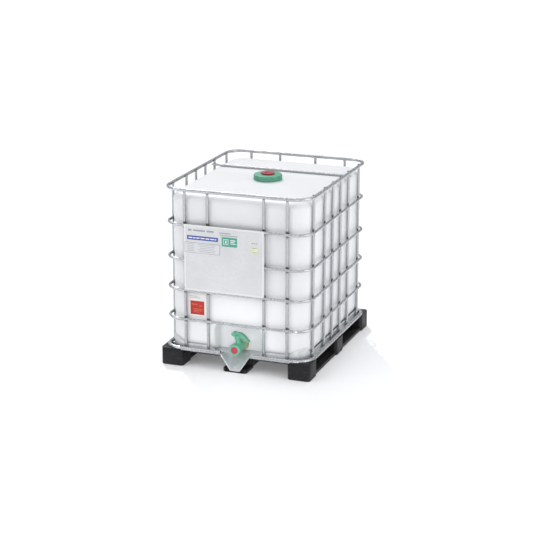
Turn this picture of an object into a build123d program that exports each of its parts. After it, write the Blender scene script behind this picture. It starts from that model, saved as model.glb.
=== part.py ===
"""A 1000 litre intermediate bulk container on a plastic pallet, in millimetres.

+Z is up, the origin is on the floor under the middle of the pallet, and the discharge valve faces -Y.
Each sub-part is built in its own block and written to parts/NAME.step.
"""

from build123d import *
import math
import os

os.makedirs("parts", exist_ok=True)

# Overall sizes
LENGTH = 1200.0
WIDTH = 1000.0
HEIGHT = 1160.0

# Pallet
FOOT_TOP = 102.0
SKID_HEIGHT = 22.0
SKID_INSET = 10.0
FOOT_WIDTH = 150.0
FOOT_LENGTH = 140.0
FOOT_WALL = 7.0
FOOT_CORNER = 22.0
MID_FOOT_WIDTH = 160.0
FRONT_MID_FOOT_SETBACK = 100.0
DECK_TOP = 104.0
DECK_THICKNESS = 16.0
DECK_HALF_X = 456.0
DECK_HALF_Y = 536.0
DECK_NOTCH = 104.0
CORNER_LIP = 10.0
SKID_STEP = 3.0
SKID_NOTCH = 60.0
SKID_NOTCH_DEPTH = 22.0
SKID_NOTCH_FLOOR = 5.0
SCREW_SPREAD = 40.0
SCREW_RADIUS = 3.0
SCREW_HEAD = 6.5
SCREW_HEAD_HEIGHT = 3.0
SCREW_SEAT = 5.0
SCREW_TOP = 50.0
SCREW_FIT = 0.2
SCREW_BOSS = 8.0

# Cage: the rings lie outside the posts, which are pressed flat where they cross
POST_RADIUS = 9.0
POST_WALL = 1.2
POST_X = 467.0
POST_Y = 569.0
FLAT_HALF_WIDTH = 11.5
FLAT_HALF_DEPTH = 6.0
FLAT_HALF_LENGTH = 9.0
FLAT_RUN_OUT = 24.0
POST_BOTTOM = 104.5
POST_TOP = 1154.0
FRONT_POST_X = (-339.0, -186.0, 186.0, 339.0)
BACK_POST_X = (-332.0, -125.0, 125.0, 332.0)
SIDE_POST_Y = (-449.0, -235.0, -78.0, 78.0, 235.0, 449.0)
RING_RADIUS = 9.0
RING_WALL = 1.2
RING_LEVELS = (310.0, 504.0, 701.0, 924.0)
RIM_RADIUS = 11.0
RIM_WALL = 1.5
RIM_LEVEL = HEIGHT - RIM_RADIUS
RAIL_RADIUS = 13.0
RAIL_WALL = 1.5
RAIL_LEVEL = FOOT_TOP + RAIL_RADIUS + 0.05
RAIL_GAP = 99.0
CORNER_RADIUS = 112.0

# Floor pan and its spout under the valve
SHEET = 1.5
PAN_HALF_X = 456.0
PAN_HALF_Y = 558.0
PAN_CORNER = 100.0
PAN_EDGE = 147.0
EAR_TOP = 186.0
EAR_START = 54.0
EAR_END = 108.0
DIP_START = 185.0
DIP_END = 112.0
SPOUT_BACK = -502.0
SPOUT_FRONT = -593.0
SPOUT_HALF_TOP = 93.0
SPOUT_HALF_BOTTOM = 30.0
SPOUT_HALF_START = 60.0
SPOUT_BOTTOM = 11.0
BEAD_RADIUS = 3.5

# Bottle
BOTTLE_HALF_X = 454.0
BOTTLE_HALF_Y = 556.0
BOTTLE_BOTTOM = DECK_TOP + SHEET + 0.5
BOTTLE_TOP = 1114.0
BOTTLE_WALL = 3.0
BOTTLE_CORNER = 105.0
BOTTLE_TOP_EDGE = 45.0
BOTTLE_BOTTOM_EDGE = 80.0
NICHE_HALF_X = 160.0
NICHE_TOP = 296.0
NICHE_DEPTH = 112.0
NICHE_CORNER = 60.0
NICHE_DRAFT = 8.0
NICHE_EDGE = 30.0
NICHE_REACH = 9.0
NICHE_FOOT = 40.0

# Lid
NECK_RADIUS = 78.0
NECK_BORE = 72.5
NECK_TOP = 1139.0
LID_RADIUS = 91.5
LID_INNER = 81.5
LID_BOTTOM = 1116.0
LID_TOP = 1149.0
LID_RIB = 2.5
LID_RIBS = 36
PLUG_RADIUS = 43.0
PLUG_SHAFT = 25.0
PLUG_FIT = 0.05
PLUG_TOP = HEIGHT - 0.5
PLUG_SLOT = 60.0
PLUG_SLOT_WIDTH = 12.0
GASKET = 2.0

# Valve, on an axis along Y
AXIS_Z = 147.0
OUTLET_NECK = 33.0
OUTLET_BORE = 25.0
OUTLET_NECK_END = -472.0
FLANGE = 4.0
NUT_RADIUS = 40.5
NUT_RIBS = 12
BODY_RADIUS = 31.0
STEM_Y = -532.0
STEM_RADIUS = 6.0
STEM_FIT = 0.06
STEM_BOTTOM = 117.0
STEM_TOP = 236.0
FOOT_BOSS_BOTTOM = 112.0
TOWER_RADIUS = 17.0
TOWER_TOP = 203.0
STEM_SEAL_LEVEL = 192.0
STEM_SEAL_HEIGHT = 4.0
STEM_SEAL_RADIUS = 8.5
SEAT_HALF = 8.0
SEAT_DEPTH = 2.0
FLAP_RADIUS = 24.7
FLAP_THICKNESS = 4.0
FLAP_HUB = 22.0
THREAD_RADIUS = 29.5
THREAD_START = -566.0
THREAD_END = -592.0
CAP_RADIUS = 36.0
CAP_BACK = -567.0
CAP_FRONT = -597.5
CAP_RIBS = 14
INSERT_RADIUS = 23.0
INSERT_SHAFT = 15.0
HUB_RADIUS = 22.0
HUB_BOTTOM = 204.0
HANDLE_TOP = 246.0
HANDLE_HALF_WIDTH = 13.0
HANDLE_SCREW_DEPTH = 16.0

# Sign plate
PLATE_LEFT = -336.0
PLATE_RIGHT = 196.0
PLATE_BOTTOM = 509.0
PLATE_TOP = 934.0
PLATE_SHEET = 1.2
CLIP_X = (-300.0, -77.0, 146.0)
CLIP_WIDTH = 14.0

# Crossbar
BAR_Y = SIDE_POST_Y[4]
BAR_RADIUS = 8.0
BAR_LEVEL = BOTTLE_TOP + BAR_RADIUS + 0.5
BOLT_RADIUS = 4.0

RING_X = POST_X + POST_RADIUS - 2 * FLAT_HALF_DEPTH + RING_RADIUS + 6.0
RING_Y = POST_Y + RING_X - POST_X


def write(part, name):
    """Labels a finished piece and writes it as its own STEP file."""
    part.label = name
    export_step(part, f"parts/{name}.step")


def tube_ring(half_x, half_y, level, radius, wall, corner):
    """A closed tube bent round four corners: half of it swept, and mirrored."""
    with BuildPart() as ring:
        with BuildLine(Plane.XY.offset(level)):
            FilletPolyline(
                (0, -half_y), (half_x, -half_y), (half_x, half_y), (0, half_y), radius=corner
            )
        with BuildSketch(Plane((0, -half_y, level), x_dir=(0, 1, 0), z_dir=(1, 0, 0))):
            Circle(radius)
            Circle(radius - wall, mode=Mode.SUBTRACT)
        sweep()
        mirror(about=Plane.YZ)
    return ring.part


# Pallet -------------------------------------------------------------------------------------------

rail_x = RING_X - RING_RADIUS + RAIL_RADIUS
rail_y = RING_Y - RING_RADIUS + RAIL_RADIUS
foot_x = WIDTH / 2 - FOOT_WIDTH / 2
foot_y = LENGTH / 2 - FOOT_LENGTH / 2
front_mid_y = -foot_y + FRONT_MID_FOOT_SETBACK
feet = [
    (-foot_x, -foot_y, FOOT_WIDTH),
    (0, front_mid_y, MID_FOOT_WIDTH),
    (foot_x, -foot_y, FOOT_WIDTH),
    (-foot_x, 0, FOOT_WIDTH),
    (0, 0, MID_FOOT_WIDTH),
    (foot_x, 0, FOOT_WIDTH),
    (-foot_x, foot_y, FOOT_WIDTH),
    (0, foot_y, MID_FOOT_WIDTH),
    (foot_x, foot_y, FOOT_WIDTH),
]
deck_bottom = DECK_TOP - DECK_THICKNESS
screw_places = [(x + side * SCREW_SPREAD, y) for x, y, width in feet for side in (-1, 1)]

with BuildPart() as pallet:
    with BuildSketch(Plane.XY.offset(SKID_HEIGHT)):
        for x, y, width in feet:
            with Locations((x, y)):
                RectangleRounded(width, FOOT_LENGTH, FOOT_CORNER)
    extrude(amount=FOOT_TOP - SKID_HEIGHT)
    with BuildSketch(Plane.XY.offset(FOOT_TOP)):
        for x, y, width in (feet[0], feet[2], feet[6], feet[8]):
            with Locations((x, y)):
                RectangleRounded(width, FOOT_LENGTH, FOOT_CORNER)
        RectangleRounded(
            2 * (rail_x + RAIL_RADIUS + 1),
            2 * (rail_y + RAIL_RADIUS + 1),
            CORNER_RADIUS + RAIL_RADIUS + 1,
            mode=Mode.SUBTRACT,
        )
    extrude(amount=CORNER_LIP)
    with BuildSketch(Plane.XY.offset(deck_bottom)):
        Rectangle(2 * DECK_HALF_X, 2 * DECK_HALF_Y)
        with Locations((0, -LENGTH / 2)):
            Rectangle(2 * DECK_NOTCH, 2 * (LENGTH / 2 + SPOUT_BACK), mode=Mode.SUBTRACT)
    extrude(amount=DECK_THICKNESS)
    with BuildSketch(Plane.XY.offset(SKID_HEIGHT)):
        for x, y, width in feet:
            with Locations((x, y)):
                RectangleRounded(
                    width - 2 * FOOT_WALL, FOOT_LENGTH - 2 * FOOT_WALL, FOOT_CORNER - FOOT_WALL
                )
        with Locations(*screw_places):
            Circle(SCREW_BOSS, mode=Mode.SUBTRACT)
    extrude(amount=deck_bottom - FOOT_WALL - SKID_HEIGHT, mode=Mode.SUBTRACT)
    with BuildSketch(Plane.XY.offset(SKID_HEIGHT)):
        with Locations(*screw_places):
            Circle(SCREW_RADIUS)
    extrude(amount=SCREW_TOP - SKID_HEIGHT, mode=Mode.SUBTRACT)
write(pallet.part, "pallet_deck")

for place, x, width in (
    ("left", -foot_x, FOOT_WIDTH),
    ("middle", 0, MID_FOOT_WIDTH),
    ("right", foot_x, FOOT_WIDTH),
):
    with BuildPart() as skid:
        for level, thickness, smaller in (
            (0, SKID_STEP, SKID_STEP),
            (SKID_STEP, SKID_HEIGHT - SKID_STEP, 0),
        ):
            with BuildSketch(Plane.XY.offset(level)):
                with Locations((x, 0)):
                    Rectangle(width - 2 * SKID_INSET - 2 * smaller, LENGTH - FOOT_LENGTH)
                for y in (-foot_y, 0, foot_y):
                    with Locations((x, y)):
                        RectangleRounded(
                            width - 2 * smaller, FOOT_LENGTH - 2 * smaller, FOOT_CORNER - smaller
                        )
            extrude(amount=thickness)
        if place == "middle":
            with Locations((0, -LENGTH / 2, SKID_NOTCH_FLOOR)):
                Box(
                    2 * SKID_NOTCH,
                    2 * SKID_NOTCH_DEPTH,
                    SKID_HEIGHT,
                    align=(Align.CENTER, Align.CENTER, Align.MIN),
                    mode=Mode.SUBTRACT,
                )
        with BuildSketch():
            with Locations(*[place for place in screw_places if abs(place[0] - x) < FOOT_WIDTH]):
                Circle(SCREW_HEAD + SCREW_FIT)
        extrude(amount=SCREW_SEAT, mode=Mode.SUBTRACT)
        with BuildSketch():
            with Locations(*[place for place in screw_places if abs(place[0] - x) < FOOT_WIDTH]):
                Circle(SCREW_RADIUS + SCREW_FIT)
        extrude(amount=SKID_HEIGHT, mode=Mode.SUBTRACT)
    write(skid.part, f"pallet_skid_{place}")

with BuildPart() as skid_screws:
    with BuildSketch(Plane.XY.offset(SCREW_SEAT - SCREW_HEAD_HEIGHT)):
        with Locations(*screw_places):
            Circle(SCREW_HEAD)
    extrude(amount=SCREW_HEAD_HEIGHT)
    with BuildSketch(Plane.XY.offset(SCREW_SEAT)):
        with Locations(*screw_places):
            Circle(SCREW_RADIUS)
    extrude(amount=SCREW_TOP - SCREW_SEAT)
write(skid_screws.part, "skid_screws")

# Cage ---------------------------------------------------------------------------------------------

rim_x = RING_X - RING_RADIUS + RIM_RADIUS
rim_y = RING_Y - RING_RADIUS + RIM_RADIUS

with BuildPart() as rail:
    with BuildLine(Plane.XY.offset(RAIL_LEVEL)):
        FilletPolyline(
            (-RAIL_GAP, -rail_y),
            (-rail_x, -rail_y),
            (-rail_x, rail_y),
            (rail_x, rail_y),
            (rail_x, -rail_y),
            (RAIL_GAP, -rail_y),
            radius=CORNER_RADIUS,
        )
    with BuildSketch(Plane((-RAIL_GAP, -rail_y, RAIL_LEVEL), x_dir=(0, 1, 0), z_dir=(-1, 0, 0))):
        Circle(RAIL_RADIUS)
        Circle(RAIL_RADIUS - RAIL_WALL, mode=Mode.SUBTRACT)
    sweep()
write(rail.part, "base_rail")

write(tube_ring(rim_x, rim_y, RIM_LEVEL, RIM_RADIUS, RIM_WALL, CORNER_RADIUS), "cage_top_rim")
for number, level in enumerate(RING_LEVELS, start=1):
    ring = tube_ring(RING_X, RING_Y, level, RING_RADIUS, RING_WALL, CORNER_RADIUS)
    write(ring, f"cage_ring_{number}")


def post_sections():
    """(height, flatness) of each section of a post, from its foot to its top."""
    found = [(POST_BOTTOM, 1), (RAIL_LEVEL + RAIL_RADIUS, 1), (RAIL_LEVEL + RAIL_RADIUS + 20, 0)]
    for level in RING_LEVELS:
        for away, flatness in (
            (-FLAT_RUN_OUT, 0),
            (-FLAT_HALF_LENGTH, 1),
            (FLAT_HALF_LENGTH, 1),
            (FLAT_RUN_OUT, 0),
        ):
            found.append((level + away, flatness))
    found += [(POST_TOP - 24, 0), (POST_TOP - 9, 1), (POST_TOP, 1)]
    return found


with BuildPart() as post:
    for thinner, mode in ((0.0, Mode.ADD), (POST_WALL, Mode.SUBTRACT)):
        for height, flatness in post_sections():
            half_width = POST_RADIUS + (FLAT_HALF_WIDTH - POST_RADIUS) * flatness
            half_depth = POST_RADIUS + (FLAT_HALF_DEPTH - POST_RADIUS) * flatness
            with BuildSketch(Plane.XY.offset(height)):
                with Locations((0, POST_RADIUS - half_depth)):
                    Ellipse(half_width - thinner, half_depth - thinner + 0.001)
        loft(ruled=True, mode=mode)

post_places = {}
for number, x in enumerate(FRONT_POST_X, start=1):
    post_places[f"post_front_{number}"] = (x, -POST_Y, 0)
for number, x in enumerate(BACK_POST_X, start=1):
    post_places[f"post_back_{number}"] = (x, POST_Y, 180)
for number, y in enumerate(SIDE_POST_Y, start=1):
    post_places[f"post_left_{number}"] = (-POST_X, y, -90)
    post_places[f"post_right_{number}"] = (POST_X, y, 90)

for name, (x, y, turn) in post_places.items():
    with BuildPart() as placed:
        with Locations(Location((x, y, 0), (0, 0, turn))):
            add(post.part)
        if name in ("post_left_5", "post_right_5"):
            with Locations(Location((x, y, BAR_LEVEL), (0, 90, 0))):
                Cylinder(BOLT_RADIUS + 0.2, 4 * POST_RADIUS, mode=Mode.SUBTRACT)
    write(placed.part, name)

bar_tab = 3.0
bar_half = POST_X - POST_RADIUS - bar_tab - 0.5
with BuildPart() as bar:
    with BuildSketch(Plane.YZ.offset(-bar_half + 14)):
        with Locations((BAR_Y, BAR_LEVEL)):
            Circle(BAR_RADIUS)
            Circle(BAR_RADIUS - RING_WALL, mode=Mode.SUBTRACT)
    extrude(amount=2 * (bar_half - 14))
    for side in (-1, 1):
        with BuildSketch(Plane.YZ.offset(side * (bar_half - 15))):
            with Locations((BAR_Y, BAR_LEVEL)):
                Circle(BAR_RADIUS)
        with BuildSketch(Plane.YZ.offset(side * bar_half)):
            with Locations((BAR_Y, BAR_LEVEL)):
                Rectangle(24, 15)
        loft()
        with BuildSketch(Plane.YZ.offset(side * bar_half)):
            with Locations((BAR_Y, BAR_LEVEL)):
                RectangleRounded(26, 18, 4)
        extrude(amount=side * bar_tab)
        with Locations(Location((side * bar_half, BAR_Y, BAR_LEVEL), (0, 90, 0))):
            Cylinder(BOLT_RADIUS + 0.2, 36, mode=Mode.SUBTRACT)
write(bar.part, "top_crossbar")

bolt_head = 5.0
with BuildPart() as bar_bolts:
    for side in (-1, 1):
        start = side * (bar_half - 12)
        with BuildSketch(Plane.YZ.offset(start)):
            with Locations((BAR_Y, BAR_LEVEL)):
                Circle(BOLT_RADIUS)
        extrude(amount=side * (POST_X + POST_RADIUS + 9 - abs(start)))
        with BuildSketch(Plane.YZ.offset(side * (POST_X + POST_RADIUS + 0.2))):
            with Locations((BAR_Y, BAR_LEVEL)):
                RegularPolygon(6.5, 6, major_radius=False)
        extrude(amount=side * bolt_head)
write(bar_bolts.part, "crossbar_bolts")

# Floor pan ----------------------------------------------------------------------------------------

with BuildPart() as pan:
    with BuildSketch(Plane.XY.offset(DECK_TOP)):
        RectangleRounded(2 * PAN_HALF_X, 2 * PAN_HALF_Y, PAN_CORNER)
    extrude(amount=EAR_TOP - DECK_TOP)
    with BuildSketch(Plane.XY.offset(DECK_TOP + SHEET)):
        RectangleRounded(2 * (PAN_HALF_X - SHEET), 2 * (PAN_HALF_Y - SHEET), PAN_CORNER - SHEET)
    extrude(amount=EAR_TOP - DECK_TOP, mode=Mode.SUBTRACT)
    for plane, half, reach in ((Plane.XZ, PAN_HALF_X, PAN_HALF_Y), (Plane.YZ, PAN_HALF_Y, PAN_HALF_X)):
        with BuildSketch(plane.offset(-reach - 5)):
            with BuildLine():
                Polyline(
                    (-half + EAR_START, EAR_TOP + 5),
                    (-half + EAR_START, EAR_TOP),
                    (-half + EAR_END, PAN_EDGE),
                    (half - EAR_END, PAN_EDGE),
                    (half - EAR_START, EAR_TOP),
                    (half - EAR_START, EAR_TOP + 5),
                    close=True,
                )
            make_face()
        extrude(amount=2 * reach + 10, mode=Mode.SUBTRACT)
    with BuildSketch(Plane.XZ.offset(PAN_HALF_Y - 30)):
        with BuildLine():
            Polyline(
                (-DIP_START, PAN_EDGE + 5),
                (-DIP_START, PAN_EDGE - 6),
                (-DIP_END, DECK_TOP + 8),
                (-SPOUT_HALF_TOP, DECK_TOP - 5),
                (SPOUT_HALF_TOP, DECK_TOP - 5),
                (DIP_END, DECK_TOP + 8),
                (DIP_START, PAN_EDGE - 6),
                (DIP_START, PAN_EDGE + 5),
                close=True,
            )
        make_face()
    extrude(amount=40, mode=Mode.SUBTRACT)
    with BuildSketch(Plane.XY.offset(DECK_TOP - 5)):
        with Locations((0, -LENGTH / 2)):
            Rectangle(2 * SPOUT_HALF_TOP, 2 * (LENGTH / 2 + SPOUT_BACK))
    extrude(amount=30, mode=Mode.SUBTRACT)
write(pan.part, "floor_pan")

spout_top = DECK_TOP + SHEET
with BuildPart() as spout:
    for smaller, mode in ((0.0, Mode.ADD), (SHEET, Mode.SUBTRACT)):
        for y, half_bottom, bottom in (
            (SPOUT_BACK, SPOUT_HALF_START, DECK_TOP),
            (SPOUT_FRONT, SPOUT_HALF_BOTTOM, SPOUT_BOTTOM),
        ):
            with BuildSketch(Plane.XZ.offset(-y)):
                with BuildLine():
                    Polyline(
                        (-SPOUT_HALF_TOP + smaller, spout_top + smaller),
                        (-half_bottom + smaller, bottom + smaller),
                        (half_bottom - smaller, bottom + smaller),
                        (SPOUT_HALF_TOP - smaller, spout_top + smaller),
                        close=True,
                    )
                make_face()
        loft(ruled=True, mode=mode)
    with BuildLine():
        FilletPolyline(
            (-SPOUT_HALF_TOP, SPOUT_FRONT, RAIL_LEVEL),
            (-SPOUT_HALF_TOP, SPOUT_FRONT, spout_top),
            (-SPOUT_HALF_BOTTOM, SPOUT_FRONT, SPOUT_BOTTOM),
            (SPOUT_HALF_BOTTOM, SPOUT_FRONT, SPOUT_BOTTOM),
            (SPOUT_HALF_TOP, SPOUT_FRONT, spout_top),
            (SPOUT_HALF_TOP, SPOUT_FRONT, RAIL_LEVEL),
            radius=4,
        )
    with BuildSketch(Plane.XY.offset(RAIL_LEVEL)):
        with Locations((-SPOUT_HALF_TOP, SPOUT_FRONT)):
            Circle(BEAD_RADIUS)
    sweep()
write(spout.part, "drip_spout")

# Bottle -------------------------------------------------------------------------------------------


def bottle_body(inset):
    """The bottle's closed shape with the valve's niche in it, drawn in by the given amount."""
    with BuildPart() as body:
        with BuildSketch(Plane.XY.offset(BOTTLE_BOTTOM + inset)):
            RectangleRounded(
                2 * (BOTTLE_HALF_X - inset), 2 * (BOTTLE_HALF_Y - inset), BOTTLE_CORNER - inset
            )
        extrude(amount=BOTTLE_TOP - BOTTLE_BOTTOM - 2 * inset)
        fillet(body.faces().sort_by(Axis.Z)[-1].edges(), radius=BOTTLE_TOP_EDGE - inset)
        fillet(body.faces().sort_by(Axis.Z)[0].edges(), radius=BOTTLE_BOTTOM_EDGE - inset)
        with BuildSketch(Plane.XZ.offset(BOTTLE_HALF_Y + 1)):
            with Locations((0, (NICHE_TOP + inset) / 2)):
                RectangleRounded(2 * (NICHE_HALF_X + inset), NICHE_TOP + inset, NICHE_CORNER)
            with Locations((0, NICHE_CORNER)):
                Rectangle(2 * (NICHE_HALF_X + inset), 2 * NICHE_CORNER)
        extrude(amount=-(NICHE_DEPTH + 1 + inset), taper=NICHE_DRAFT, mode=Mode.SUBTRACT)
    front = -BOTTLE_HALF_Y + inset
    mouth = body.edges().filter_by_position(Axis.Y, front - 0.5, front + 0.5)
    mouth = mouth.filter_by_position(Axis.X, -NICHE_HALF_X - NICHE_REACH, NICHE_HALF_X + NICHE_REACH)
    mouth = mouth.filter_by_position(Axis.Z, AXIS_Z + NICHE_FOOT, NICHE_TOP + NICHE_REACH)
    shape = body.part.fillet(NICHE_EDGE - inset, mouth)
    wall = front + NICHE_DEPTH
    deep = shape.edges().filter_by_position(Axis.Y, wall - 0.5, wall + 0.5)
    deep = deep.filter_by_position(Axis.Z, AXIS_Z + NICHE_REACH, NICHE_TOP + NICHE_REACH)
    return shape.fillet(NICHE_EDGE + inset, deep)


niche_wall = -BOTTLE_HALF_Y + NICHE_DEPTH
outer_bottle = bottle_body(0)
inner_bottle = bottle_body(BOTTLE_WALL)
with BuildPart() as bottle:
    add(outer_bottle)
    with BuildSketch(Plane.XY.offset(BOTTLE_TOP - BOTTLE_WALL)):
        Circle(NECK_RADIUS)
    extrude(amount=NECK_TOP - BOTTLE_TOP + BOTTLE_WALL)
    with BuildSketch(Plane.XZ.offset(-niche_wall - BOTTLE_WALL)):
        with Locations((0, AXIS_Z)):
            Circle(OUTLET_NECK)
    extrude(amount=niche_wall + BOTTLE_WALL - OUTLET_NECK_END)
    add(inner_bottle, mode=Mode.SUBTRACT)
    with BuildSketch(Plane.XY.offset(BOTTLE_TOP - 2 * BOTTLE_WALL)):
        Circle(NECK_BORE)
    extrude(amount=NECK_TOP - BOTTLE_TOP + 3 * BOTTLE_WALL, mode=Mode.SUBTRACT)
    with BuildSketch(Plane.XZ.offset(-OUTLET_NECK_END)):
        with Locations((0, AXIS_Z)):
            Circle(OUTLET_BORE)
    extrude(amount=-(niche_wall + 3 * BOTTLE_WALL - OUTLET_NECK_END), mode=Mode.SUBTRACT)
write(bottle.part, "inner_bottle")

# Lid ----------------------------------------------------------------------------------------------

lid_floor = NECK_TOP + GASKET
with BuildPart() as lid_gasket:
    with BuildSketch(Plane.XY.offset(NECK_TOP)):
        Circle(NECK_RADIUS)
        Circle(NECK_BORE, mode=Mode.SUBTRACT)
    extrude(amount=GASKET)
write(lid_gasket.part, "lid_gasket")

with BuildPart() as lid:
    with BuildSketch(Plane.XY.offset(LID_BOTTOM)):
        Circle(LID_RADIUS - LID_RIB)
    extrude(amount=LID_TOP - LID_BOTTOM)
    fillet(lid.faces().sort_by(Axis.Z)[-1].edges(), radius=3)
    with BuildSketch(Plane.XY.offset(LID_BOTTOM)):
        with PolarLocations(LID_RADIUS - LID_RIB, LID_RIBS):
            Rectangle(2 * LID_RIB, 7)
    extrude(amount=LID_TOP - LID_BOTTOM - 4)
    with BuildSketch(Plane.XY.offset(LID_BOTTOM)):
        Circle(LID_INNER)
    extrude(amount=lid_floor - LID_BOTTOM, mode=Mode.SUBTRACT)
    with BuildSketch(Plane.XY.offset(LID_BOTTOM)):
        Circle(PLUG_SHAFT + PLUG_FIT)
    extrude(amount=LID_TOP - LID_BOTTOM, mode=Mode.SUBTRACT)
write(lid.part, "fill_lid")

with BuildPart() as plug_seal:
    with BuildSketch(Plane.XY.offset(LID_TOP)):
        Circle(PLUG_RADIUS - 6)
        Circle(PLUG_SHAFT + PLUG_FIT, mode=Mode.SUBTRACT)
    extrude(amount=GASKET)
write(plug_seal.part, "vent_plug_seal")

with BuildPart() as plug:
    with BuildSketch(Plane.XY.offset(LID_TOP + GASKET)):
        Circle(PLUG_RADIUS)
    extrude(amount=PLUG_TOP - LID_TOP - GASKET)
    fillet(plug.faces().sort_by(Axis.Z)[-1].edges(), radius=2)
    with BuildSketch(Plane.XY.offset(lid_floor - 8)):
        Circle(PLUG_SHAFT)
        Circle(PLUG_SHAFT - 4, mode=Mode.SUBTRACT)
    extrude(amount=LID_TOP + GASKET - lid_floor + 8)
    with BuildSketch(Plane.XY.offset(PLUG_TOP)):
        SlotOverall(PLUG_SLOT, PLUG_SLOT_WIDTH)
        SlotOverall(PLUG_SLOT, PLUG_SLOT_WIDTH, rotation=90)
    extrude(amount=-3, mode=Mode.SUBTRACT)
write(plug.part, "vent_plug")

# Valve --------------------------------------------------------------------------------------------

flow_axis = Axis((0, 0, AXIS_Z), (0, 1, 0))


def turned(*corners):
    """A body turned about the valve's axis; corners are (y, distance from the axis)."""
    with BuildPart() as body:
        with BuildSketch(Plane.YZ):
            with BuildLine():
                Polyline(*[(y, AXIS_Z + away) for y, away in corners], close=True)
            make_face()
        revolve(axis=flow_axis)
    return body.part


flange_back = OUTLET_NECK_END - GASKET
flange_front = flange_back - FLANGE
flange_gasket = turned(
    (OUTLET_NECK_END, OUTLET_BORE),
    (OUTLET_NECK_END, OUTLET_NECK),
    (flange_back, OUTLET_NECK),
    (flange_back, OUTLET_BORE),
)
write(flange_gasket, "valve_flange_gasket")

nut_shape = turned(
    (niche_wall - 4, OUTLET_NECK + 0.05),
    (niche_wall - 4, NUT_RADIUS - 1),
    (flange_front - 4, NUT_RADIUS - 1),
    (flange_front - 6, NUT_RADIUS - 4),
    (flange_front - 6, BODY_RADIUS + 0.05),
    (flange_front, BODY_RADIUS + 0.05),
    (flange_front, OUTLET_NECK + 0.05),
)
with BuildPart() as nut:
    add(nut_shape)
    with BuildSketch(Plane.XZ.offset(-(niche_wall - 4))):
        with Locations((0, AXIS_Z)):
            with PolarLocations(NUT_RADIUS - 1, NUT_RIBS):
                Rectangle(4, 6)
    extrude(amount=niche_wall - flange_front)
write(nut.part, "union_nut")

body_shape = turned(
    (flange_back, OUTLET_BORE),
    (flange_back, OUTLET_NECK),
    (flange_front, OUTLET_NECK),
    (flange_front, BODY_RADIUS),
    (THREAD_START, BODY_RADIUS),
    (THREAD_START, THREAD_RADIUS),
    (THREAD_END, THREAD_RADIUS),
    (THREAD_END, OUTLET_BORE),
)
seat_shape = turned(
    (STEM_Y - SEAT_HALF, OUTLET_BORE),
    (STEM_Y - SEAT_HALF, OUTLET_BORE + SEAT_DEPTH),
    (STEM_Y + SEAT_HALF, OUTLET_BORE + SEAT_DEPTH),
    (STEM_Y + SEAT_HALF, OUTLET_BORE),
)
bore_shape = turned(
    (flange_back + 1, 0),
    (flange_back + 1, OUTLET_BORE),
    (THREAD_END - 1, OUTLET_BORE),
    (THREAD_END - 1, 0),
)
with BuildPart() as valve_body:
    add(body_shape)
    with Locations((0, STEM_Y, AXIS_Z)):
        Cylinder(TOWER_RADIUS, TOWER_TOP - AXIS_Z, align=(Align.CENTER, Align.CENTER, Align.MIN))
    with Locations((0, STEM_Y, FOOT_BOSS_BOTTOM)):
        Cylinder(12, AXIS_Z - FOOT_BOSS_BOTTOM, align=(Align.CENTER, Align.CENTER, Align.MIN))
    add(bore_shape, mode=Mode.SUBTRACT)
    add(seat_shape, mode=Mode.SUBTRACT)
    with Locations((0, STEM_Y, STEM_BOTTOM - 0.5)):
        Cylinder(
            STEM_RADIUS + STEM_FIT,
            TOWER_TOP - STEM_BOTTOM + 5,
            align=(Align.CENTER, Align.CENTER, Align.MIN),
            mode=Mode.SUBTRACT,
        )
    with Locations((0, STEM_Y, STEM_SEAL_LEVEL)):
        Cylinder(
            STEM_SEAL_RADIUS,
            STEM_SEAL_HEIGHT,
            align=(Align.CENTER, Align.CENTER, Align.MIN),
            mode=Mode.SUBTRACT,
        )
write(valve_body.part, "valve_body")

with BuildPart() as seat:
    add(seat_shape)
    with Locations((0, STEM_Y, AXIS_Z)):
        Cylinder(STEM_RADIUS + STEM_FIT, 80, mode=Mode.SUBTRACT)
write(seat.part, "valve_seat_ring")

with BuildPart() as stem_seal:
    with BuildSketch(Plane.XY.offset(STEM_SEAL_LEVEL)):
        with Locations((0, STEM_Y)):
            Circle(STEM_SEAL_RADIUS)
            Circle(STEM_RADIUS + STEM_FIT, mode=Mode.SUBTRACT)
    extrude(amount=STEM_SEAL_HEIGHT)
write(stem_seal.part, "valve_stem_seal")

with BuildPart() as stem:
    with BuildSketch(Plane.XY.offset(STEM_BOTTOM)):
        with Locations((0, STEM_Y)):
            Circle(STEM_RADIUS)
    extrude(amount=STEM_TOP - STEM_BOTTOM)
    with BuildSketch(Plane.XY.offset(STEM_TOP)):
        with Locations((0, STEM_Y)):
            Circle(SCREW_RADIUS)
    extrude(amount=-HANDLE_SCREW_DEPTH, mode=Mode.SUBTRACT)
write(stem.part, "valve_stem")

with BuildPart() as flap:
    with Locations(Location((0, STEM_Y, AXIS_Z), (90, 0, 0))):
        Cylinder(FLAP_RADIUS, FLAP_THICKNESS)
    with Locations((0, STEM_Y, AXIS_Z)):
        Cylinder(STEM_RADIUS + 2.5, 2 * FLAP_HUB)
        Cylinder(STEM_RADIUS, 80, mode=Mode.SUBTRACT)
write(flap.part, "valve_flap")

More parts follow.
